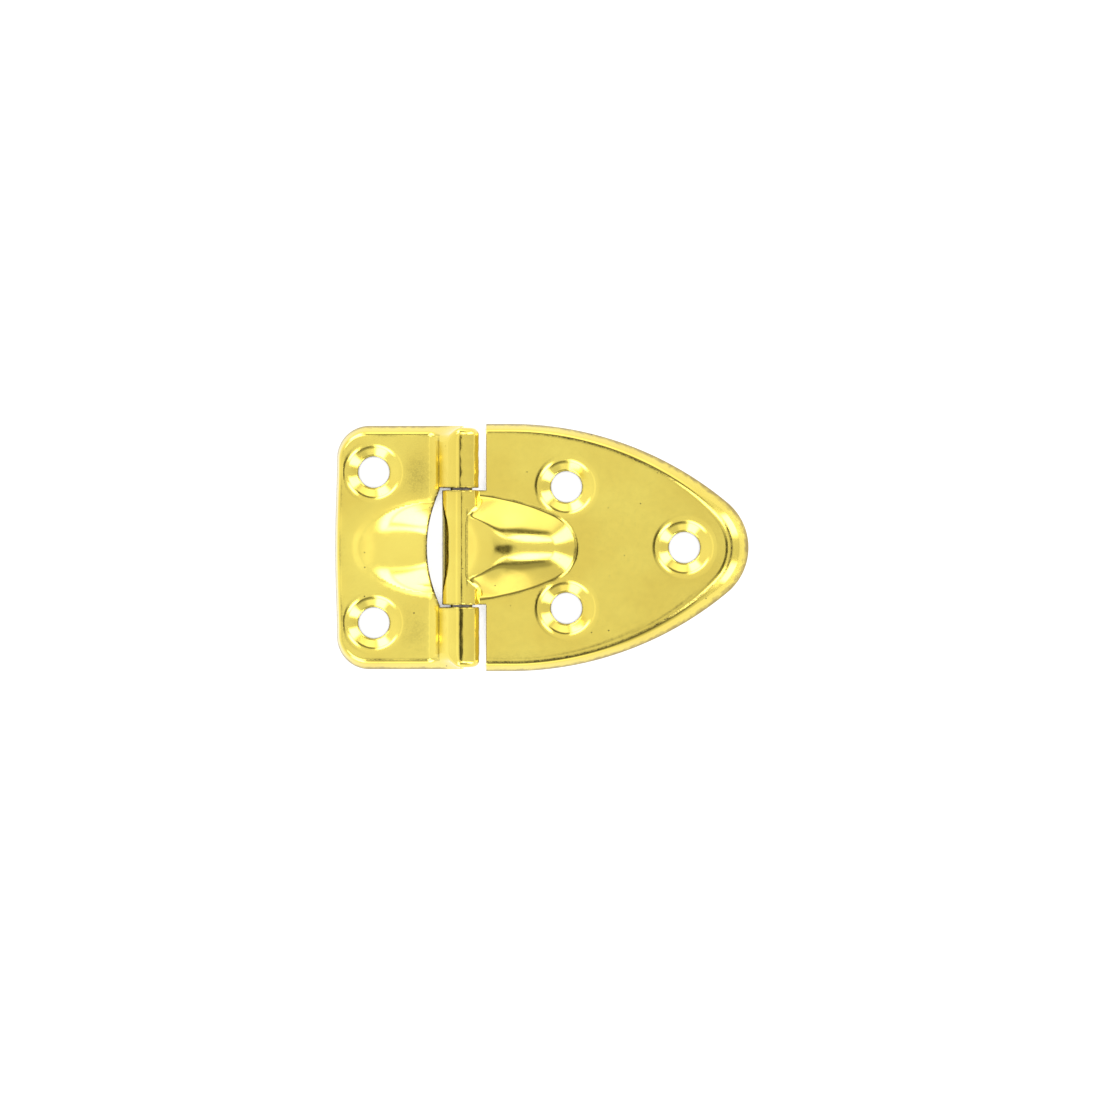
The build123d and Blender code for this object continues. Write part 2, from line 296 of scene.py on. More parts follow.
LONG_HALF_WIDTH = 19.05
LONG_FLANK_X = 7.5
LONG_TIP_X = 44.2
LONG_TIP_R = 9.0
LONG_RIM_IN = 1.07
LONG_TIP_RIM_IN = 2.3
LONG_SEATS = ((16.15, 9.35), (16.15, -9.35), (34.3, 0.0))
DOME_HALF_WIDTH = 8.2
DOME_FLANK_X = -1.0
DOME_NOSE_X = 17.4
DOME_NOSE_R = 5.5
DOME_BELLY = 0.04
DOME_RISE = 4.42
DOME_RIDGE = ((4.2, 0.0), (8.0, 11.0), (13.8, 18.5), (20.0, 26.0))
DOME_BACK_X = 0.9
DOME_BACK_RISE = 3.74
DOME_BACK_SLOPE = tan(radians(15))
MIDDLE_R = MIDDLE_BORE_R + SHEET
MIDDLE_ROOT_X = MIDDLE_R + ROOT_FILLET


def joined(a, b, radius):
    """Two forms as one, with a fillet of a radius in the corner between them.

    A form is a distance in mm to its surface, negative inside it.
    """
    return np.maximum(radius, np.minimum(a, b)) - np.hypot(
        np.maximum(radius - a, 0), np.maximum(radius - b, 0)
    )


def trimmed(a, b, radius):
    """What two forms share, with the edge between their surfaces rounded."""
    return np.minimum(-radius, np.maximum(a, b)) + np.hypot(
        np.maximum(radius + a, 0), np.maximum(radius + b, 0)
    )


def bullet_sizes(half_width, flank_x, tip_x, tip_r):
    """The reach, the flank's radius and the flank's turn of a bullet outline."""
    reach = tip_x - tip_r - flank_x
    flank_r = (reach**2 + half_width**2 - tip_r**2) / (2 * (half_width - tip_r))
    return reach, flank_r, atan2(flank_r - half_width, reach)


def bullet_inward(x, y, half_width, flank_x, tip_x, tip_r):
    """How far plan points lie inside a bullet outline."""
    reach, flank_r, turn = bullet_sizes(half_width, flank_x, tip_x, tip_r)
    y = np.abs(y)
    from_flank = np.hypot(x - flank_x, y - half_width + flank_r)
    from_tip = np.hypot(x - flank_x - reach, y)
    past_flank = cos(turn) * (y - half_width + flank_r) - sin(turn) * (x - flank_x) < 0
    side = np.where(x > flank_x, flank_r - from_flank, half_width - y)
    return np.where(past_flank & (x > flank_x), tip_r - from_tip, side)


def arc(middle, radius, start, stop, count):
    """Plan points along an arc, without its last."""
    turns = np.linspace(start, stop, count, endpoint=False)
    return [(middle[0] + radius * cos(turn), middle[1] + radius * sin(turn)) for turn in turns]


def bullet_ring(half_width, flank_x, tip_x, tip_r, start_x, counts):
    """Plan points along a bullet outline, from its upper side round the tip to its lower side."""
    reach, flank_r, turn = bullet_sizes(half_width, flank_x, tip_x, tip_r)
    along_side, along_flank, along_tip = counts
    points = [(x, half_width) for x in np.linspace(start_x, flank_x, along_side, endpoint=False)]
    points += arc((flank_x, half_width - flank_r), flank_r, pi / 2, turn, along_flank)
    points += arc((tip_x - tip_r, 0), tip_r, turn, 0, along_tip)
    return points + [(tip_x, 0.0)] + [(x, -y) for x, y in reversed(points)]


def long_rim_sizes(step):
    """The long leaf's outline, drawn in by a share of the rim's width."""
    side_in = LONG_RIM_IN * step
    tip_in = LONG_TIP_RIM_IN * step
    tip_r = LONG_TIP_R - (side_in + tip_in) / 2
    return LONG_HALF_WIDTH - side_in, LONG_FLANK_X, LONG_TIP_X - tip_in, tip_r


def long_inward(x, y, step):
    """How far plan points lie inside the long leaf's outline, drawn in by a share of the rim."""
    return bullet_inward(x, y, *long_rim_sizes(step))


def rim_form(inward, x, y, z):
    """A leaf's sloping rim, between its foot at Z = 0 and its head at the land."""
    low_in = inward(x, y, 0)
    lean = (low_in - inward(x, y, 1)) / LAND_Z
    return -(low_in - lean * z) / np.sqrt(1 + lean**2)


def seat_drop(out):
    """How far a screw seat sinks at a distance from its middle: floor, foot, cone and shoulder."""
    foot_r = SEAT_FLAT_R - SEAT_FOOT * tan(SEAT_TURN / 2)
    cone = SHEET - (out - SEAT_FLAT_R) * tan(SEAT_TURN)
    past_lip = np.clip(SEAT_LIP_R - out, 0, SEAT_ROUND * sin(SEAT_TURN))
    shoulder = SEAT_ROUND - np.sqrt(SEAT_ROUND**2 - past_lip**2)
    past_foot = np.clip(out - foot_r, 0, SEAT_FOOT * sin(SEAT_TURN))
    foot = SHEET - SEAT_FOOT + np.sqrt(SEAT_FOOT**2 - past_foot**2)
    drop = np.where(out > SEAT_LIP_R - SEAT_ROUND * sin(SEAT_TURN), shoulder, cone)
    return np.where(out < foot_r + SEAT_FOOT * sin(SEAT_TURN), foot, drop)


def seat_distance(x, y, seats):
    """How far plan points are from the middle of the nearest screw seat."""
    return np.min([np.hypot(x - seat_x, y - seat_y) for seat_x, seat_y in seats], axis=0)


def seat_form(form, x, y, z, seats):
    """Sinks the conical screw seats into a form, with soft shoulders."""
    out = seat_distance(x, y, seats)
    return np.where(out < SEAT_LIP_R, np.maximum(form, z - LAND_Z + seat_drop(out)), form)


def hole_form(form, x, y, seats):
    """Cuts the screw holes, with the slight roll of a punched edge."""
    return trimmed(form, HOLE_R - seat_distance(x, y, seats), CUT_EASE)


def boss_form(form, x, y, z, seats):
    """The hollow under a leaf, less the undersides of its screw seats."""
    slope = (SEAT_SHOULDER_R - SEAT_FLAT_R) / SHEET
    cone = seat_distance(x, y, seats) - SEAT_FLAT_R - slope * (z - LAND_Z + SHEET)
    return np.maximum(form, SHEET - cone / sqrt(1 + slope**2))


def eased(value, start, stop):
    """0 before start and 1 after stop, with a soft way between."""
    share = np.clip((value - start) / (stop - start), 0, 1)
    return share**2 * (3 - 2 * share)


def lower_of(a, b, soft):
    """The lower of two heights, with a soft change from one to the other."""
    return np.minimum(a, b) - np.maximum(soft - np.abs(a - b), 0) ** 2 / (4 * soft)


def profile(turns):
    """Heights along a line whose slope turns evenly between places, given in degrees."""
    places = np.linspace(turns[0][0], turns[-1][0], 2000)
    sines = np.interp(places, [t[0] for t in turns], [sin(radians(t[1])) for t in turns])
    slopes = sines / np.sqrt(1 - sines**2)
    climbs = np.cumsum((slopes[1:] + slopes[:-1]) / 2) * (places[1] - places[0])
    return places, np.concatenate([[0], climbs])


ridge_x, ridge_drop = profile(DOME_RIDGE)


def dome_foot(out):
    """The bullet outline of the dome's foot, let out by a width."""
    return DOME_HALF_WIDTH + out, DOME_FLANK_X, DOME_NOSE_X + out, DOME_NOSE_R + out


def dome_rise(x, y):
    """How high the long leaf's dome stands over the land.

    Its bellied flanks stop at a roof that is level along the barrel and crowned at the nose.
    """
    inward = bullet_inward(x, y, *dome_foot(0))
    flank = (1.23 - 0.23 * eased(x, 1.5, 7.0)) * inward - DOME_BELLY * np.maximum(inward, 0) ** 2
    crown = 0.05 + 0.13 * eased(x, 3.0, 14.0)
    roof = DOME_RISE - np.interp(x, ridge_x, ridge_drop) - crown * y**2 / 2
    roof = lower_of(flank, roof, 0.42 + 0.3 * eased(x, 13.0, 16.0))
    return lower_of(roof, DOME_BACK_RISE + (x - DOME_BACK_X) * DOME_BACK_SLOPE, 0.45)


def height_form(rise, x, y, z, depth):
    """A form whose surface stands at a rise over the land, at a depth inside it."""
    step = 0.02
    slope_x = (rise(x + step, y) - rise(x - step, y)) / (2 * step)
    slope_y = (rise(x, y + step) - rise(x, y - step)) / (2 * step)
    return (z - LAND_Z - rise(x, y)) / np.sqrt(1 + slope_x**2 + slope_y**2) + depth


def crown_drop(reach, y, upper, lower):
    """How far a knuckle steps down past the crease along its crown, more on its lower side."""
    height = upper + (lower - upper) * eased(-y, -2.0, 4.0)
    height = height * (0.85 + 0.15 * np.sin(2.3 * y) * np.sin(0.9 * y + 1.0))
    return height * (1 - np.exp(-np.maximum(reach, 0) / 0.8))


def long_outside(x, y, z):
    """The plated outer face of the long leaf."""
    bend = RIM_BEND + 0.4 * eased(x, 35, 43)
    land = trimmed(z - LAND_Z, rim_form(long_inward, x, y, z), bend)
    land = seat_form(land, x, y, z, LONG_SEATS)
    barrel = np.hypot(x, z - AXIS_Z) - MIDDLE_R + crown_drop(x, y, MIDDLE_STEP, MIDDLE_STEP)
    tongue = np.hypot(np.maximum(MIDDLE_ROOT_X - x, 0), np.maximum(TONGUE_Z - z, 0))
    rolled = np.where(z > TONGUE_Z, barrel, np.maximum(ROOT_FILLET - tongue, land))
    rolled = np.where(x < 0, barrel, np.where(z > TONGUE_Z, np.minimum(barrel, land), rolled))
    fillet = 0.08 + 0.5 * eased(x, 0.6, 2.0) - 0.2 * eased(x, 3.0, 5.0)
    domed = joined(rolled, height_form(dome_rise, x, y, z, 0), fillet)
    form = np.where(x < 0, barrel, domed)
    form = trimmed(form, np.minimum(MIDDLE_ROOT_X - x, np.abs(y) - MIDDLE_HALF_WIDTH), CUT_EASE)
    return hole_form(form, x, y, LONG_SEATS)


def long_hollow(x, y, z):
    """The hollow under the long leaf, one sheet below its outer face."""
    form = SHEET + np.maximum(z - LAND_Z, rim_form(long_inward, x, y, z))
    form = boss_form(form, x, y, z, LONG_SEATS)
    under = ROOT_FILLET + SHEET - np.hypot(
        np.maximum(MIDDLE_ROOT_X - x, 0), np.maximum(TONGUE_Z - z, 0)
    )
    bore = np.hypot(x, np.maximum(z - AXIS_Z, 0)) - MIDDLE_BORE_R
    tongue = np.where(z > TONGUE_Z, np.maximum(bore, under), under)
    form = np.where(x < MIDDLE_ROOT_X, tongue, form)
    return np.minimum(form, np.maximum(height_form(dome_rise, x, y, z, SHEET), -x))


def risen(form, x, y, low, high):
    """How high a form's surface stands over plan points, found by halving."""
    low = np.full(len(x), float(low))
    high = np.full(len(x), float(high))
    for _ in range(32):
        middle = (low + high) / 2
        inside = form(x, y, middle) < 1e-4
        low = np.where(inside, middle, low)
        high = np.where(inside, high, middle)
    return (low + high) / 2


def facing(form, points, sign):
    """Unit normals of a form's surface at points on it."""
    steps = 0.004 * np.eye(3)
    slopes = [form(*(points + step).T) - form(*(points - step).T) for step in steps]
    normals = np.stack(slopes, axis=1) * sign
    return normals / np.maximum(np.linalg.norm(normals, axis=1), 1e-9)[:, None]


def scattered(fixed, sets, room):
    """Plan points gathered set by set, each kept only where it has room.

    sets holds pairs of points and the gap that each keeps to the points before it.
    """
    kept = list(fixed)
    for points, gap in sets:
        tree = kdtree.KDTree(len(kept))
        for i, (x, y) in enumerate(kept):
            tree.insert((x, y, 0), i)
        tree.balance()
        points = np.array(points)
        for x, y in points[room(*points.T) > gap / 3]:
            if tree.find((x, y, 0))[2] > gap:
                kept.append((x, y))
    return np.array(kept)


def grid(low_x, high_x, low_y, high_y, step_x, step_y):
    """Plan points in rows, with every other row set over by half a step."""
    points = []
    for row, y in enumerate(np.arange(low_y, high_y, step_y)):
        points += [(x + step_x / 2 * (row % 2), y) for x in np.arange(low_x, high_x, step_x)]
    return points


def faces_between(points, loops, room):
    """Triangles between plan points, inside the closed loops and off the holes."""
    edges = [(loop[i], loop[(i + 1) % len(loop)]) for loop in loops for i in range(len(loop))]
    _, _, triangles, sources, _, _ = delaunay_2d_cdt(
        [Vector(p) for p in points], edges, [], 1, 1e-6, True
    )
    faces = np.array([source[0] for source in sources])[np.array(triangles)]
    centres = points[faces].mean(axis=1)
    on_edge = (faces < sum(len(loop) for loop in loops)).all(axis=1)
    return faces[room(*centres.T) > np.where(on_edge, 1e-6, -0.002)]


class Sheet:
    """The faces of a sheet, gathered patch by patch with the normals that each patch has."""

    def __init__(self):
        self.points, self.faces, self.normals, self.count = [], [], [], 0

    def add(self, points, faces, normals):
        """Adds a patch, whose faces are turned the way of its normals, or of its one normal."""
        if not len(faces):
            return
        normals = np.broadcast_to(np.array(normals, float), points.shape)
        corners = points[faces]
        ways = np.cross(corners[:, 1] - corners[:, 0], corners[:, 2] - corners[:, 0])
        ways += np.cross(corners[:, -2] - corners[:, 0], corners[:, -1] - corners[:, 0])
        if np.sum(ways * normals[faces].mean(axis=1)) < 0:
            faces = faces[:, ::-1]
        self.points.append(points)
        for face in faces.tolist():
            self.faces.append([i + self.count for i in face])
        self.normals.append(normals)
        self.count += len(points)

    def strip(self, first, second, normals, closed=False):
        """Adds a wall between two rows of points, with a normal for each place or one for all."""
        normals = np.broadcast_to(np.array(normals, float), first.shape)
        count = len(first)
        here = np.arange(count if closed else count - 1)
        ahead = (here + 1) % count
        faces = np.stack([here, ahead, ahead + count, here + count], axis=1)
        self.add(np.concatenate([first, second]), faces, np.concatenate([normals, normals]))

    def rows(self, points, normals):
        """Adds a patch whose points lie in rows and columns."""
        rows, columns = points.shape[:2]
        index = np.arange(rows * columns).reshape(rows, columns)
        faces = np.stack([index[:-1, :-1], index[1:, :-1], index[1:, 1:], index[:-1, 1:]], axis=-1)
        self.add(points.reshape(-1, 3), faces.reshape(-1, 4), normals.reshape(-1, 3))

    def piece(self, name, shade_painting):
        """Joins the patches into one piece in metres, with their own normals and the painted shade.
        """
        points = np.concatenate(self.points)
        normals = np.concatenate(self.normals)
        _, first, merged = np.unique(
            np.round(points / WELD).astype(np.int64), axis=0, return_index=True, return_inverse=True
        )
        merged = merged.reshape(-1)
        kept, loop_normals = [], []
        for face in self.faces:
            corners = [(int(merged[i]), i) for i in face]
            corners = [c for n, c in enumerate(corners) if c[0] != corners[n - 1][0]]
            if len(corners) < 3:
                continue
            kept.append([c[0] for c in corners])
            loop_normals += [normals[c[1]] for c in corners]
        mesh = bpy.data.meshes.new(name)
        mesh.from_pydata(points[first] * MM, [], kept)
        mesh.shade_smooth()
        mesh.normals_split_custom_set(loop_normals)
        # Painted shade and dark reflections, kept at each point for the material.
        painted_shade = np.clip(shade_painting(*points[first].T), 0, 1).astype(np.float32)
        mesh.attributes.new("painted_shade", "FLOAT", "POINT").data.foreach_set("value", painted_shade)
        made = bpy.data.objects.new(name, mesh)
        bpy.context.scene.collection.objects.link(made)
        return made


def lying(points, among, axis, place):
    """Which plan points of some lie at a place along X or Y."""
    return [i for i in among if abs(points[i][axis] - place) < 1e-9]


def pressed(loop, rings, seats, sets, room, outside, hollow):
    """Punches and presses a blank. Gives its sheet, its plan points, their tops and undersides.

    Round its loop, the plan's points follow the rim's rings, the seats' rings and then the sets.
    """
    fixed, loops = list(loop), [list(range(len(loop)))]
    for seat in seats:
        loops.append(list(range(len(fixed), len(fixed) + HOLE_POINTS)))
        fixed += arc(seat, HOLE_R, 0, 2 * pi, HOLE_POINTS)
    first_sets = [([p for ring in rings[1:] for p in ring], 0.02)]
    for radii, gap in ((SEAT_RINGS[:4], 0.015), (SEAT_RINGS[4:], 0.07)):
        round_seats = [arc(seat, r, 0, 2 * pi, HOLE_POINTS) for seat in seats for r in radii]
        first_sets.append(([p for ring in round_seats for p in ring], gap))
    points = scattered(fixed, first_sets + sets, room)
    faces = faces_between(points, loops, room)
    x, y = points.T
    top = np.column_stack([points, risen(outside, x, y, -1, CLEAR_Z)])
    under_z = np.maximum(risen(hollow, x, y, -3, CLEAR_Z), 0)
    under = np.column_stack([points, np.where(under_z < ON_GROUND, 0, under_z)])
    top[:, 2] = np.where(top[:, 2] < 2e-3, 0, top[:, 2])
    under[:, 2] = np.minimum(under[:, 2], top[:, 2])
    sheet = Sheet()
    sheet.add(top, faces, facing(outside, top, 1))
    flat = (under[faces][:, :, 2] < ON_GROUND).all(axis=1)
    sheet.add(under, faces[flat], (0, 0, -1))
    sheet.add(under, faces[~flat], facing(hollow, under, -1))
    for seat, hole in zip(seats, loops[1:]):
        inward = np.column_stack([(np.array(seat) - points[hole]) / HOLE_R, np.zeros(len(hole))])
        sheet.strip(under[hole], top[hole], inward, True)
    return sheet, points, top, under


straight_y = [MIDDLE_HALF_WIDTH, 8.83, 8.88, 8.95, 9.1, 9.4] + list(np.arange(10, 17.3, 0.6))
rim_steps = [0, 0.3, 0.6, 0.78, 0.84, 0.88, 0.92, 0.96, 1.0, 1.04, 1.08]
rim_steps += [1.13, 1.19, 1.26, 1.34, 1.45, 1.6, 1.8, 2.1]
rings = [bullet_ring(*long_rim_sizes(step), MIDDLE_ROOT_X, (10, 130, 60)) for step in rim_steps]
straight_y += [ring[0][1] for ring in reversed(rings)][:-1]
straight = [(MIDDLE_ROOT_X, y) for y in sorted(set(straight_y))]
tongue_x = [0, 0.3, 0.6, 0.8, 0.95, 1.1, 1.3, 1.6, 1.78, 1.9, 2.1, 2.35, 2.6, 2.75, 2.85]
tongue_x += [2.92, 2.96, 2.98, 3.0, 3.05, 3.15, 3.3, 3.5]
tongue = [(x, MIDDLE_HALF_WIDTH) for x in tongue_x]
by_edge = [0.0, 0.03, 0.08, 0.15, 0.3, 0.6]
knuckle_y = by_edge + list(np.linspace(1.0, 2 * MIDDLE_HALF_WIDTH - 1.0, 38))
knuckle_y += [2 * MIDDLE_HALF_WIDTH - y for y in reversed(by_edge)]
knuckle_y = np.array(knuckle_y) - MIDDLE_HALF_WIDTH
loop = list(rings[0])
loop += [(x, -y) for x, y in reversed(tongue + straight)]
loop += [(0.0, y) for y in knuckle_y[1:-1]]
loop += tongue + straight


def long_room(x, y):
    """How far plan points lie inside the long leaf's blank."""
    room = np.minimum(long_inward(x, y, 0), x)
    room = np.minimum(room, np.maximum(x - MIDDLE_ROOT_X, MIDDLE_HALF_WIDTH - np.abs(y)))
    return np.minimum(room, seat_distance(x, y, LONG_SEATS) - HOLE_R)


edge_rows = []
for inset in (0.03, 0.08, 0.15, 0.25):
    edge_rows += [(MIDDLE_ROOT_X + inset, side * y) for side in (-1, 1) for _, y in straight]
    inset_y = MIDDLE_HALF_WIDTH - inset
    edge_rows += [(x, side * inset_y) for side in (-1, 1) for x in tongue_x + [3.75]]
foot_rings = []
for out in (-0.42, -0.34, -0.26, -0.18, -0.1, -0.02, 0.06, 0.14, 0.22, 0.3):
    foot_rings += bullet_ring(*dome_foot(out), DOME_FLANK_X - 0.1, (2, 90, 50))
sets = [
    (edge_rows, 0.025),
    (foot_rings, 0.06),
    (grid(0.05, 3.9, -8.7, 8.75, 0.1, 0.25), 0.07),
    (grid(1.0, 17.6, -5.2, 5.25, 0.16, 0.14), 0.09),
    (grid(0.1, 18.5, -9.2, 9.25, 0.24, 0.22), 0.14),
    (grid(4, 43, -18, 18.2, 0.9, 0.8), 0.5),
]
press = (long_room, long_outside, long_hollow)
long_sheet, points, top, under = pressed(loop, rings, LONG_SEATS, sets, *press)
wall = [*range(len(rings[0]) - 1, len(loop)), 0]
for side in (1, -1):
    run = [i for i in wall if side * points[i][1] > MIDDLE_HALF_WIDTH - 0.01]
    edge_run = lying(points, run, 0, MIDDLE_ROOT_X)
    tongue_run = lying(points, run, 1, side * MIDDLE_HALF_WIDTH)
    long_sheet.strip(top[edge_run], under[edge_run], (-1, 0, 0))
    long_sheet.strip(top[tongue_run], under[tongue_run], (0, side, 0))


def knuckle_outside(x, y, z):
    """The outer face of the middle knuckle, with its punched edges eased."""
    return trimmed(np.hypot(x, z - AXIS_Z) - MIDDLE_R, np.abs(y) - MIDDLE_HALF_WIDTH, CUT_EASE)


curl = np.radians(np.linspace(90, 360 - CURL_END, 64))


def rolled_edge(past):
    """How far a punched edge is rounded off at a distance past the start of its rounding."""
    return CUT_EASE - np.sqrt(np.maximum(CUT_EASE**2 - np.maximum(past, 0) ** 2, 0))


def curled(radii):
    """Rows of points round the barrel, with a radius for each place along it or one for all."""
    rows = np.zeros((len(curl), len(knuckle_y), 3))
    rows[:, :, 0] = np.cos(curl)[:, None] * radii
    rows[:, :, 1] = knuckle_y
    rows[:, :, 2] = AXIS_Z + np.sin(curl)[:, None] * radii
    return rows


outer_rows = curled(MIDDLE_R - rolled_edge(CUT_EASE - MIDDLE_HALF_WIDTH + np.abs(knuckle_y)))
inner_rows = curled(MIDDLE_BORE_R)
inward_ways = np.array((0, 0, AXIS_Z)) - curled(1) * (1, 0, 1)
outer_ways = facing(knuckle_outside, outer_rows.reshape(-1, 3), 1).reshape(outer_rows.shape)
seam = lying(points, wall, 0, 0)
outer_rows[0] = top[seam]
inner_rows[0] = under[seam]
long_sheet.rows(outer_rows, outer_ways)
long_sheet.rows(inner_rows, inward_ways)
for side, column in ((-1, 0), (1, -1)):
    long_sheet.strip(outer_rows[:, column], inner_rows[:, column], (0, side, 0))
end_way = (-sin(curl[-1]), 0, cos(curl[-1]))
long_sheet.strip(outer_rows[-1], inner_rows[-1], end_way)


def line(distance, width):
    """1 along a line and 0 away from it."""
    return np.exp(-((distance / width) ** 2))


def hole_painted_shade(x, y, seats):
    """A painted shade line round the punched edge of each screw hole."""
    return 0.65 * line(seat_distance(x, y, seats) - HOLE_R - 0.04, 0.13)


def long_painted_shade(x, y, z):
    """Where shade and dark reflections are painted on the long leaf: by the rim and the dome's
    foot, on the barrel, and at cuts.
    """
    # Painted dark reflections inside the rim's bend, along the dome's foot and on the barrel's
    # crown and left flank; painted shadow at the dome's nose; painted shade in the gaps beside the
    # tongue.
    in_rim = long_inward(x, y, 1) - 0.35
    upper = 0.3 + 0.6 * eased(x, 6, 18) - 0.45 * eased(x, 31, 36) + 0.5 * eased(x, 39, 41)
    along = np.where(y > 0, upper, 0.9)
    painted_shade = line(in_rim, 0.17) * along + line(in_rim - 0.65, 0.14) * 0.45 * eased(-y, 2, 8)
    foot = bullet_inward(x, y, *dome_foot(0))
    patchy = (0.5 + 0.25 * np.sin(1.7 * x)) * np.where(y > 0, 1, 0.6)
    painted_shade += line(foot + 0.1, 0.13) * eased(x, 3, 5) * patchy
    painted_shade += 0.8 * line(foot + 0.25, 0.3) * line(y + 0.8, 1.1) * (x > 14)
    on_barrel = np.abs(y) < MIDDLE_HALF_WIDTH
    painted_shade += line(x - 0.9, 0.13) * 0.6 * eased(6.2 - np.abs(y), 0, 0.8) * (z > 5)
    painted_shade += line(x - 0.05, 0.13) * on_barrel * (z > 5) * (0.2 + 0.6 * line(y + 6.2, 1.7))
    painted_shade += line(np.abs(y) - MIDDLE_HALF_WIDTH, 0.17) * (x < MIDDLE_ROOT_X) * 0.9
    painted_shade += 0.95 * eased(-x, 2.62, 2.9) * (z > 2) * (0.45 + 0.55 * eased(7.0 - np.abs(y), 0, 4))
    return painted_shade + hole_painted_shade(x, y, LONG_SEATS)


long_leaf = long_sheet.piece("pressed_long_leaf", long_painted_shade)
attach(long_leaf, "lid_half")
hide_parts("long_leaf")

brass, brass_shader = new_metal("brass_plate")
set_inputs(brass_shader, Coat_Weight=0.4, Coat_Roughness=0.1)
mark_and_shade_metal(
    brass,
    brass_shader,
    0.0022,
    Face=(0.88, 0.73, 0.135, 1),
    Deep=(0.8, 0.63, 0.105, 1),
    # Painted shade: the third colour is the shade near the ground, and the fourth is the colour of
    # pits and of the painted shade.
    Stain=(0.3, 0.22, 0.09, 1),
    Soiled=(0.035, 0.024, 0.003, 1),
    Pits=0.11,
    Grime_Height=0.0008,
    Smooth=0.07,
    Dull=0.2,
    Grain=0.6,
)
long_leaf.data.materials.append(brass)

# The short leaf: a square-ended blank of the same plated steel. The press turns its rim down, sinks
# two screw seats and raises a half dome, which ends at the notch. The two ears beside the notch are
# rolled into the outer knuckles, and their rims close in over the ends of the barrel.
SHORT_END_X = -19.5
SHORT_BOW = 0.3
SHORT_HALF_WIDTH = 18.75
SHORT_CORNER_R = 5.0
SHORT_RIM_IN = 1.15
SHORT_END_RIM_IN = 0.5
SHORT_SEATS = ((-13.5, 11.6), (-13.5, -11.6))
OUTER_R = PIN_R + SHEET
ROOT_TURN = radians(50)
ROOT_ROUND = 1.0
ROOT_TURNS = (
    *((-5.2, 0.0), (-4.3, 42.0), (-3.6, 46.0), (-3.45, 51.0)),
    *((-3.3, 46.0), (-2.1, 45.0), (0.0, 0.0)),
)
SHOULDER_R = 3.1
SHOULDER_Z = AXIS_Z + OUTER_R - SHOULDER_R
OUTER_START = 9.15
SLIT_EDGE_Y = 9.03
BARREL_END = 18.4
LIP_R = 1.1
LIP_HOLE_R = 0.9
NOTCH_DEPTH_X = -5.23
NOTCH_CORNER_X = -3.3
NOTCH_CORNER_Y = 8.9
NOTCH_EASE = 0.3
NOTCH_POINTS = 90
HALF_DOME_BACK_X = -3.0
HALF_DOME_LENGTH = 12.6
HALF_DOME_HALF_WIDTH = 7.1
HALF_DOME_RISE = 4.6
HALF_DOME_FOOT = 1.2
# Two patches of the land with a painted darker reflection: middle in X and Y, reach in X and Y, and
# strength.
PAINTED_DARK_PATCHES = ((-6.6, 11.0, 1.7, 2.8, 0.3), (-7.2, -13.0, 1.8, 2.6, 0.14))
notch_rise = NOTCH_CORNER_X - NOTCH_DEPTH_X
notch_r = (NOTCH_CORNER_Y**2 + notch_rise**2) / (2 * notch_rise)
notch_middle = NOTCH_DEPTH_X + notch_r
ramp_x, ramp_rise = profile(ROOT_TURNS)
ramp_rise *= (AXIS_Z + OUTER_R - LAND_Z) / ramp_rise[-1]
root_z = LAND_Z + ROOT_ROUND
root_x = (cos(ROOT_TURN) * (root_z - SHOULDER_Z) - ROOT_ROUND - SHOULDER_R) / sin(ROOT_TURN)


def tablet_sizes(step):
    """The short leaf's outline, drawn in by a share of the rim's width."""
    side_in = SHORT_RIM_IN * step
    end_in = SHORT_END_RIM_IN * step
    corner_r = SHORT_CORNER_R - (side_in + end_in) / 2
    half_width = SHORT_HALF_WIDTH - side_in
    side_x = SHORT_END_X + SHORT_BOW + end_in
    return side_x, half_width, corner_r


def tablet_inward(x, y, step):
    """How far plan points lie inside the short leaf's outline."""
    side_x, half_width, corner_r = tablet_sizes(step)
    corner_y = half_width - corner_r
    bow = SHORT_BOW * np.maximum(1 - (y / corner_y) ** 2, 0) ** 2
    over_x = side_x + corner_r - x - bow
    over_y = np.abs(y) - corner_y
    corner = np.hypot(np.maximum(over_x, 0), np.maximum(over_y, 0))
    return corner_r - np.where((over_x > 0) & (over_y > 0), corner, np.maximum(over_x, over_y))


def tablet_ring(step, start_x, counts):
    """Plan points along the short leaf's outline, from its upper side round to its lower side."""
    side_x, half_width, corner_r = tablet_sizes(step)
    along_side, along_corner, along_end = counts
    corner_x = side_x + corner_r
    corner_y = half_width - corner_r
    points = [(x, half_width) for x in np.linspace(start_x, corner_x, along_side, endpoint=False)]
    points += arc((corner_x, corner_y), corner_r, pi / 2, pi, along_corner)
    for y in np.linspace(corner_y, 0, along_end, endpoint=False):
        points.append((side_x - SHORT_BOW * (1 - (y / corner_y) ** 2) ** 2, y))
    return points + [(side_x - SHORT_BOW, 0.0)] + [(x, -y) for x, y in reversed(points)]


def half_dome_rise(x, y):
    """How high the half dome stands over the land: a cone's slope along it, a bell's across it."""
    along = (HALF_DOME_BACK_X - x) / HALF_DOME_LENGTH
    across = y / HALF_DOME_HALF_WIDTH
    out = np.hypot(along, across)
    share = across**2 / np.maximum(out, 1e-6) ** 2
    past = np.maximum(out - 1, 0)
    bell = np.where(out < 1, 1 - out**2, 2 * (1 - out))
    return HALF_DOME_RISE * ((1 - share) * (1 - out) + share * bell) - 60 * past**2


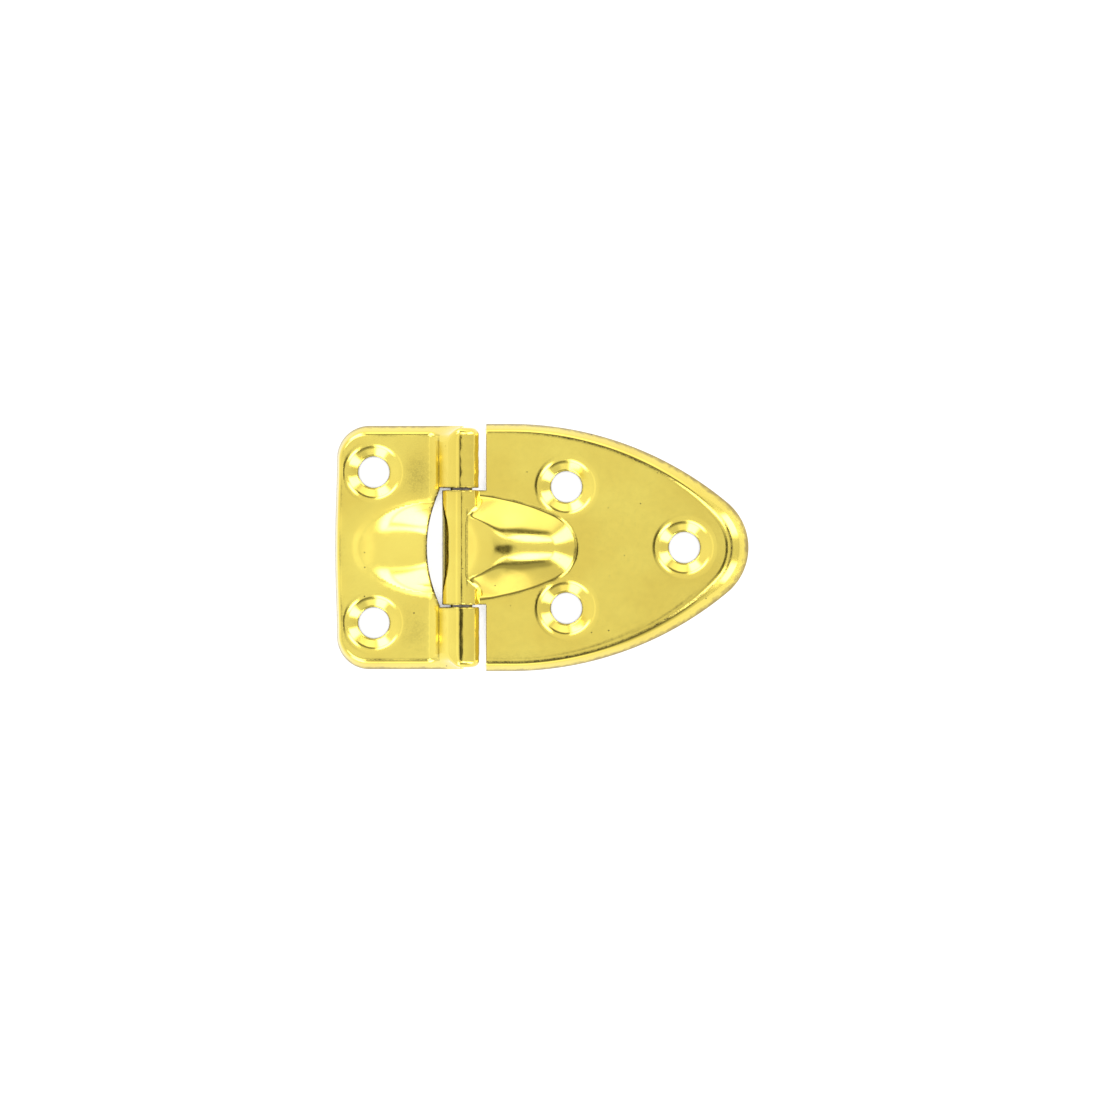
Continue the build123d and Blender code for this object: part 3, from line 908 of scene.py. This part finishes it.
def root_form(x, y, z, depth):
    """The land and the slope that rises from it to the barrel, at a depth inside the outer face."""
    way = np.clip(np.arctan2(x - root_x, root_z - z), 0, ROOT_TURN)
    sloped = ROOT_ROUND + depth - np.sin(way) * (x - root_x) - np.cos(way) * (root_z - z)
    if not depth:
        sloped = height_form(lambda x, y: np.interp(x, ramp_x, ramp_rise), x, y, z, 0)
    share = eased(np.abs(y), 6.6, 9.0)
    return (z - LAND_Z + depth) * (1 - share) + sloped * share


def notch_form(x, y):
    """The crescent notch and the slits beside it, as what is left of the sheet."""
    slit = -np.hypot(np.maximum(NOTCH_CORNER_X - x, 0), np.maximum(np.abs(y) - OUTER_START, 0))
    disc = notch_r - np.hypot(x - notch_middle, y)
    return np.maximum(slit, np.minimum(disc, OUTER_START - np.abs(y)))


def short_outside(x, y, z):
    """The plated outer face of the short leaf, up to the roots of its knuckles."""
    land = trimmed(root_form(x, y, z, 0), rim_form(tablet_inward, x, y, z), RIM_BEND)
    land = seat_form(land, x, y, z, SHORT_SEATS)
    form = joined(land, height_form(half_dome_rise, x, y, z, 0), HALF_DOME_FOOT)
    form = trimmed(form, notch_form(x, y), np.where(np.abs(y) > 8, CUT_EASE, NOTCH_EASE))
    return hole_form(form, x, y, SHORT_SEATS)


def short_hollow(x, y, z):
    """The hollow under the short leaf, one sheet below its outer face."""
    form = np.maximum(root_form(x, y, z, SHEET), rim_form(tablet_inward, x, y, z) + SHEET)
    form = boss_form(form, x, y, z, SHORT_SEATS)
    return np.minimum(form, height_form(half_dome_rise, x, y, z, SHEET))


def short_room(x, y):
    """How far plan points lie inside the short leaf's blank."""
    room = np.minimum(tablet_inward(x, y, 0), NOTCH_CORNER_X - x)
    past_notch = np.hypot(x - notch_middle, y) - notch_r + 10 * (np.abs(y) > NOTCH_CORNER_Y)
    room = np.minimum(room, past_notch)
    return np.minimum(room, seat_distance(x, y, SHORT_SEATS) - HOLE_R)


rings = [tablet_ring(step, NOTCH_CORNER_X, (40, 30, 60)) for step in rim_steps]
ear_y = [0, 0.03, 0.08, 0.15, 0.25, 0.5] + list(np.arange(1, 7.5, 0.5))
ear_y = [OUTER_START + y for y in ear_y]
ear_y += [ring[0][1] for ring in reversed(rings) if ring[0][1] > ear_y[-1] + 0.05]
ear_y = np.array(ear_y)
notch_turn = atan2(NOTCH_CORNER_Y, notch_middle - NOTCH_CORNER_X)


def notch_arc(radius):
    """Plan points along the notch's edge, or along an arc beside it."""
    turns = np.linspace(-notch_turn, notch_turn, NOTCH_POINTS)
    return [(notch_middle - radius * cos(turn), radius * sin(turn)) for turn in turns]


loop = list(rings[0])
loop += [(NOTCH_CORNER_X, -y) for y in ear_y[::-1][1:]]
loop += [(NOTCH_CORNER_X, -SLIT_EDGE_Y)] + notch_arc(notch_r) + [(NOTCH_CORNER_X, SLIT_EDGE_Y)]
loop += [(NOTCH_CORNER_X, y) for y in ear_y[:-1]]
edge_rows = []
for inset in (0.03, 0.08, 0.15, 0.23, 0.32, 0.42):
    edge_rows += notch_arc(notch_r + inset)
for inset in (0.03, 0.08, 0.15, 0.25, 0.4, 0.6):
    inset_x = NOTCH_CORNER_X - inset
    edge_rows += [(inset_x, side * y) for side in (-1, 1) for y in [*ear_y, SLIT_EDGE_Y]]
sets = [
    (edge_rows, 0.025),
    (grid(-16.5, -3.3, -9.5, 9.55, 0.24, 0.24), 0.13),
    (grid(-19.5, -3.3, -18, 18.2, 0.7, 0.6), 0.4),
]
press = (short_room, short_outside, short_hollow)
short_sheet, points, top, under = pressed(loop, rings, SHORT_SEATS, sets, *press)
mouth = list(range(len(rings[0]) + len(ear_y) - 2, len(loop) - len(ear_y) + 2))
x, y = points[mouth].T
mouth_ways = np.column_stack([(notch_middle - x) / notch_r, -y / notch_r, 0 * x])
mouth_ways[np.abs(y) > NOTCH_CORNER_Y + 1e-6] = (1, 0, 0)
short_sheet.strip(top[mouth], under[mouth], mouth_ways)

# The rolled ears: each is one strip from the land up the slope, over the pin and back under it.
SLOPE_ROWS = 12
BEND_FROM = 16.3
CROWN_LEAN = 0.12
EAR_CREASE_IN = 0.25
EAR_STEPS = (0.26, 0.17)
climb = np.linspace(0, 1, SLOPE_ROWS, endpoint=False)
shoulder_leans = np.linspace(ROOT_TURN, CROWN_LEAN, 26, endpoint=False)
crown_leans = np.linspace(CROWN_LEAN, -CROWN_LEAN, 22, endpoint=False)
round_leans = np.radians(np.linspace(-6.9, CURL_END - 270, 60))
leans = np.concatenate([shoulder_leans, crown_leans, round_leans])
radii = np.where(leans > 0, SHOULDER_R, OUTER_R)
slope_x = NOTCH_CORNER_X - (NOTCH_CORNER_X + SHOULDER_R * sin(ROOT_TURN)) * climb
slope_z = SHOULDER_Z + (SHOULDER_R + sin(ROOT_TURN) * slope_x) / cos(ROOT_TURN)
path_x = np.concatenate([slope_x, -radii * np.sin(leans)])
path_z = np.concatenate([slope_z, AXIS_Z + OUTER_R - radii * (1 - np.cos(leans))])
face_path = np.column_stack([path_x, path_z])
sink_turns = np.concatenate([ROOT_TURN * climb, leans])
sink_ways = np.column_stack([np.sin(sink_turns), -np.cos(sink_turns)])
wall_depth = SHEET / np.cos(np.concatenate([ROOT_TURN * (1 - climb), 0 * leans]))
shares = eased(np.concatenate([0.3 * climb, 1 - 0.7 * leans / ROOT_TURN]), 0, 1)
past_crown = np.concatenate([0 * climb, EAR_CREASE_IN - OUTER_R * leans])
outer_path = face_path.copy()
ramp_end = len(climb) + len(shoulder_leans) + len(crown_leans)
on_ramp = (path_z > LAND_Z) & (path_x < 0) & (np.arange(len(path_x)) < ramp_end)
outer_path[on_ramp, 1] = LAND_Z + np.interp(path_x[on_ramp], ramp_x, ramp_rise)


def along_strip(first, second):
    """Rows of values that go from those at the leaf to those of the barrel."""
    return first * (1 - shares[:, None]) + second * shares[:, None]


def strip_rows(path, y, drop):
    """Rows of points along a path, each sunk below it by its own drop."""
    x = path[:, :1] + sink_ways[:, :1] * drop
    return np.stack([x, y, path[:, 1:] + sink_ways[:, 1:] * drop], axis=2)


def grid_ways(rows, sign):
    """Normals of a patch of rows, from the steps between its points."""
    ways = np.cross(np.gradient(rows, axis=0), np.gradient(rows, axis=1)) * sign
    return ways / np.maximum(np.linalg.norm(ways, axis=2), 1e-9)[:, :, None]


for side in (-1, 1):
    seam = lying(points, range(len(loop)), 0, NOTCH_CORNER_X)
    seam = [i for i in seam if side * points[i][1] > OUTER_START - 1e-9]
    seam.sort(key=lambda i: side * points[i][1])
    seam_y = side * points[seam][:, 1]
    land_drop = outer_path[0, 1] - top[seam][:, 2]
    land_under = face_path[0, 1] - under[seam][:, 2]
    ease = rolled_edge(CUT_EASE - seam_y + OUTER_START)
    bend = np.clip((seam_y - BEND_FROM) / (SHORT_HALF_WIDTH - BEND_FROM), 0, 1)
    flat_run = BARREL_END - LIP_R - BEND_FROM
    lip_length = bend * (pi / 2 * LIP_R + OUTER_R - LIP_HOLE_R - LIP_R + flat_run)
    turn = np.clip((lip_length - flat_run) / LIP_R, 0, pi / 2)
    down = np.maximum(lip_length - flat_run - pi / 2 * LIP_R, 0)
    bent_y = BEND_FROM + np.minimum(lip_length, flat_run) + LIP_R * np.sin(turn)
    lip_y = np.where(bend > 0, bent_y, seam_y)
    lip_drop = np.where(bend > 0, LIP_R * (1 - np.cos(turn)) + down, ease)
    foot = under[seam][:, 2] < ON_GROUND
    turned = (under[seam][:, 2] < under[seam][0, 2] - ON_GROUND) & ~foot
    last_flat = np.flatnonzero(~foot & ~turned)[-1]
    first_foot = np.flatnonzero(foot)[0]
    row = np.arange(len(seam_y))
    flat = row <= last_flat
    inside_end = BARREL_END - SHEET
    flat_y = np.interp(seam_y, [OUTER_START, seam_y[last_flat]], [OUTER_START, inside_end])
    foot_y = np.interp(row, [first_foot, row[-1]], [inside_end, BARREL_END])
    inner_y = np.where(flat, flat_y, foot_y)
    inner_drop = np.interp(row, [last_flat, first_foot], [SHEET, OUTER_R - LIP_HOLE_R])
    outer_y = side * along_strip(seam_y, lip_y)
    drop = along_strip(land_drop, lip_drop) + crown_drop(past_crown[:, None], outer_y, *EAR_STEPS)
    outer_rows = strip_rows(outer_path, outer_y, drop)
    drop = np.where(flat, wall_depth[:, None], along_strip(land_under, inner_drop))
    inner_rows = strip_rows(face_path, side * along_strip(seam_y, inner_y), drop)
    outer_rows[0] = top[seam]
    inner_rows[0] = under[seam]
    inner_rows[:, -1] = outer_rows[:, -1]

    short_sheet.rows(outer_rows, grid_ways(outer_rows, side))
    for start, stop in ((0, last_flat + 1), (last_flat, first_foot + 1), (first_foot, len(seam_y))):
        patch = inner_rows[:, start:stop]
        short_sheet.rows(patch, grid_ways(patch, -side))
    short_sheet.strip(outer_rows[:, 0], inner_rows[:, 0], (0, -side, 0))
    end_way = (cos(leans[-1]), 0, sin(leans[-1]))
    short_sheet.strip(outer_rows[-1], inner_rows[-1], end_way)


def short_painted_shade(x, y, z):
    """Where shade and dark reflections are painted on the short leaf: by the rim, in the ears'
    creases and at cuts.
    """
    # Painted dark reflections inside the rim's bend, in the ears' creases and on their crowns;
    # painted shade along the notch, in the slits, on the ears' far flanks and round the holes;
    # painted darker reflection on two patches of the land.
    in_rim = tablet_inward(x, y, 1) - 0.35
    patchy = 0.22 + 0.25 * eased(-y, 8, 17) + 0.2 * np.sin(0.9 * x + 0.7 * y)
    painted_shade = line(in_rim, 0.17) * (x < NOTCH_CORNER_X) * patchy
    on_ear = eased(np.abs(y), 8.7, 9.2) * eased(17.2 - np.abs(y), 0, 0.6)
    painted_shade += line(x + 3.5, 0.14) * on_ear * 0.5
    on_crown = np.where(y > 0, 0.12, 0.75 + 0.2 * np.sin(3.1 * y))
    painted_shade += line(x + 0.2, 0.13) * on_ear * (z > 5) * on_crown
    by_notch = (np.abs(y) < OUTER_START) & (x < NOTCH_CORNER_X)
    painted_shade += line(np.hypot(x - notch_middle, y) - notch_r, 0.34) * by_notch
    painted_shade += line(np.abs(y) - OUTER_START, 0.17) * (x > NOTCH_CORNER_X - 0.2) * 0.9
    painted_shade += 0.9 * eased(x, 2.5, 2.85) * (z > 2)
    for patch_x, patch_y, reach_x, reach_y, depth in PAINTED_DARK_PATCHES:
        painted_shade += depth * line(x - patch_x, reach_x) * line(y - patch_y, reach_y) * (z > 2)
    return painted_shade + hole_painted_shade(x, y, SHORT_SEATS)


short_leaf = short_sheet.piece("pressed_short_leaf", short_painted_shade)
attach(short_leaf, "case_half")
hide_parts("short_leaf")
short_leaf.data.materials.append(brass)

# The table: a sheet of plain white paper, the soft light, and the camera straight above.
# The paper shows plain white to the camera and in the metal, with shade only close to the hinge.
bpy.ops.mesh.primitive_grid_add(x_subdivisions=3, y_subdivisions=3, size=1.2, location=(0, 0, 0))
table = bpy.context.object
table.name = "white_table"
NEAR_LOW, NEAR_HIGH = (-22 * MM, -21.5 * MM), (47 * MM, 21.5 * MM)
for corner in table.data.vertices:
    for axis in (0, 1):
        if abs(corner.co[axis]) < 0.5:
            corner.co[axis] = (NEAR_LOW if corner.co[axis] < 0 else NEAR_HIGH)[axis]
table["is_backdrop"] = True


def new_paper(name, shaded):
    """White paper, lit for all rays but those that see it, with shade in narrow gaps if wanted."""
    paper = bpy.data.materials.new(name)
    paper.use_nodes = True
    tree = paper.node_tree
    paper_shader = tree.nodes["Principled BSDF"]
    set_inputs(paper_shader, Base_Color=(0.9, 0.9, 0.9, 1))
    seen_paper = tree.nodes.new("ShaderNodeBsdfPrincipled")
    set_inputs(seen_paper, Base_Color=(0.22, 0.22, 0.22, 1), Roughness=1.0, Specular_IOR_Level=0.0)
    set_inputs(seen_paper, Emission_Color=(1, 1, 1, 1), Emission_Strength=0.98)
    if shaded:
        shades = []
        gap_shade, foot_shade = (8.0, 20, 0.07, 0.15, 0.02), (1.0, 8, 0.35, 0.62, 0.3)
        for reach, samples, dark_at, light_at, lowest in (gap_shade, foot_shade):
            shade = tree.nodes.new("ShaderNodeAmbientOcclusion")
            shade.samples = samples
            set_inputs(shade, Distance=reach * MM)
            shades.append(spread(tree, shade.outputs["AO"], dark_at, light_at, lowest, 0.99))
        glow = arithmetic(tree, "MULTIPLY", *shades)
        tree.links.new(glow, seen_paper.inputs["Emission Strength"])
    ray = tree.nodes.new("ShaderNodeLightPath").outputs
    seen = arithmetic(tree, "MAXIMUM", ray["Is Camera Ray"], ray["Is Transmission Ray"])
    seen = arithmetic(tree, "MAXIMUM", seen, ray["Is Glossy Ray"])
    surface = tree.nodes.new("ShaderNodeMixShader")
    tree.links.new(seen, surface.inputs[0])
    tree.links.new(paper_shader.outputs[0], surface.inputs[1])
    tree.links.new(seen_paper.outputs[0], surface.inputs[2])
    tree.links.new(surface.outputs[0], tree.nodes["Material Output"].inputs["Surface"])
    return paper


table.data.materials.append(new_paper("open_paper", False))
table.data.materials.append(new_paper("paper_under_hinge", True))
for face in table.data.polygons:
    face.material_index = int(abs(face.center.x) < 0.1 and abs(face.center.y) < 0.1)

world = bpy.data.worlds.new("light_tent")
bpy.context.scene.world = world
world.use_nodes = True
tent = world.node_tree
toward_sky = tent.nodes.new("ShaderNodeTexCoord").outputs["Generated"]


def eased_step(value, start, stop):
    """0 before start and 1 after stop, with a soft way between, in the tent of light."""
    node = tent.nodes.new("ShaderNodeMapRange")
    node.interpolation_type = "SMOOTHERSTEP"
    set_inputs(node, From_Min=start, From_Max=stop)
    tent.links.new(value, node.inputs["Value"])
    return node.outputs["Result"]


def reckon(operation, first, second):
    """One step of arithmetic in the tent of light."""
    return arithmetic(tent, operation, first, second)


split_sky = tent.nodes.new("ShaderNodeSeparateXYZ")
tent.links.new(toward_sky, split_sky.inputs[0])
sky_x, sky_y, sky_z = split_sky.outputs
out_from_top = reckon("ARCCOSINE", sky_z, 0)
flat_reach = reckon("MAXIMUM", reckon("SINE", out_from_top, 0), 0.001)


def window(bearing, half_width, soft, low, high, fade):
    """A soft-edged patch of the tent, by its bearing, half width and reach from the top."""
    along = reckon("MULTIPLY", sky_x, cos(radians(bearing)))
    along = reckon("ADD", along, reckon("MULTIPLY", sky_y, sin(radians(bearing))))
    aim = reckon("DIVIDE", along, flat_reach)
    outer_turn, inner_turn = radians(half_width + soft), radians(max(half_width - soft, 0))
    sides = eased_step(aim, cos(outer_turn), cos(inner_turn))
    above = eased_step(out_from_top, radians(low - fade), radians(low + fade))
    below = eased_step(out_from_top, radians(high + fade), radians(high - fade))
    return reckon("MULTIPLY", sides, reckon("MULTIPLY", above, below))


level = reckon("ADD", reckon("MULTIPLY", sky_x, -0.12), 0.98)
level = reckon("ADD", level, reckon("MULTIPLY", sky_y, 0.08))
for bearing, half_width, soft, low, high, fade, strength in (
    (41, 13, 6, 28, 46, 5, 4.3),
    (27, 12, 5, 50, 100, 6, 4.0),
    (125, 23, 9, 41, 56, 7, 4.6),
    (117, 13, 6, 60, 100, 5, 4.4),
    (242, 19, 9, 38, 56, 7, 4.4),
    (248, 13, 6, 60, 100, 5, 3.8),
    (319, 13, 6, 28, 46, 5, 4.8),
    (330, 11, 5, 50, 100, 6, 4.3),
    (72, 18, 10, 66, 120, 4, 0.5),
    (84, 10, 8, 60, 120, 6, 0.3),
    (272, 14, 8, 74, 120, 5, 0.8),
    (288, 22, 8, 46, 70, 5, -0.45),
    (292, 18, 8, 48, 58, 4, -0.25),
    (74, 24, 8, 48, 62, 4, -0.8),
    (350, 24, 8, 5.5, 21, 3, -0.95),
    (10, 60, 30, 2, 12, 3, -0.15),
    (180, 30, 15, 24, 32, 5, 0.25),
):
    patch = window(bearing, half_width, soft, low, high, fade)
    level = reckon("ADD", level, reckon("MULTIPLY", patch, strength))
background = tent.nodes["Background"]
mirrored = tent.nodes.new("ShaderNodeMix")
set_inputs(mirrored, A=1.0)
ray = tent.nodes.new("ShaderNodeLightPath").outputs
tent.links.new(ray["Is Glossy Ray"], mirrored.inputs["Factor"])
tent.links.new(reckon("MAXIMUM", level, 0.05), mirrored.inputs["B"])
tent.links.new(mirrored.outputs["Result"], background.inputs["Strength"])
set_inputs(background, Color=(1, 1, 1, 1))

bpy.context.scene.view_settings.view_transform = "Standard"
CAMERA_X, CAMERA_HEIGHT = 0.0133, 1.0
PICTURE_WIDTH = 0.1685
bpy.ops.object.camera_add(location=(CAMERA_X, 0, CAMERA_HEIGHT), rotation=(0, 0, 0))
camera = bpy.context.object
camera.data.lens = 36 * (CAMERA_HEIGHT - LAND_Z * MM) / PICTURE_WIDTH
camera.data.clip_end = 10
bpy.context.scene.camera = camera

low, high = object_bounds()
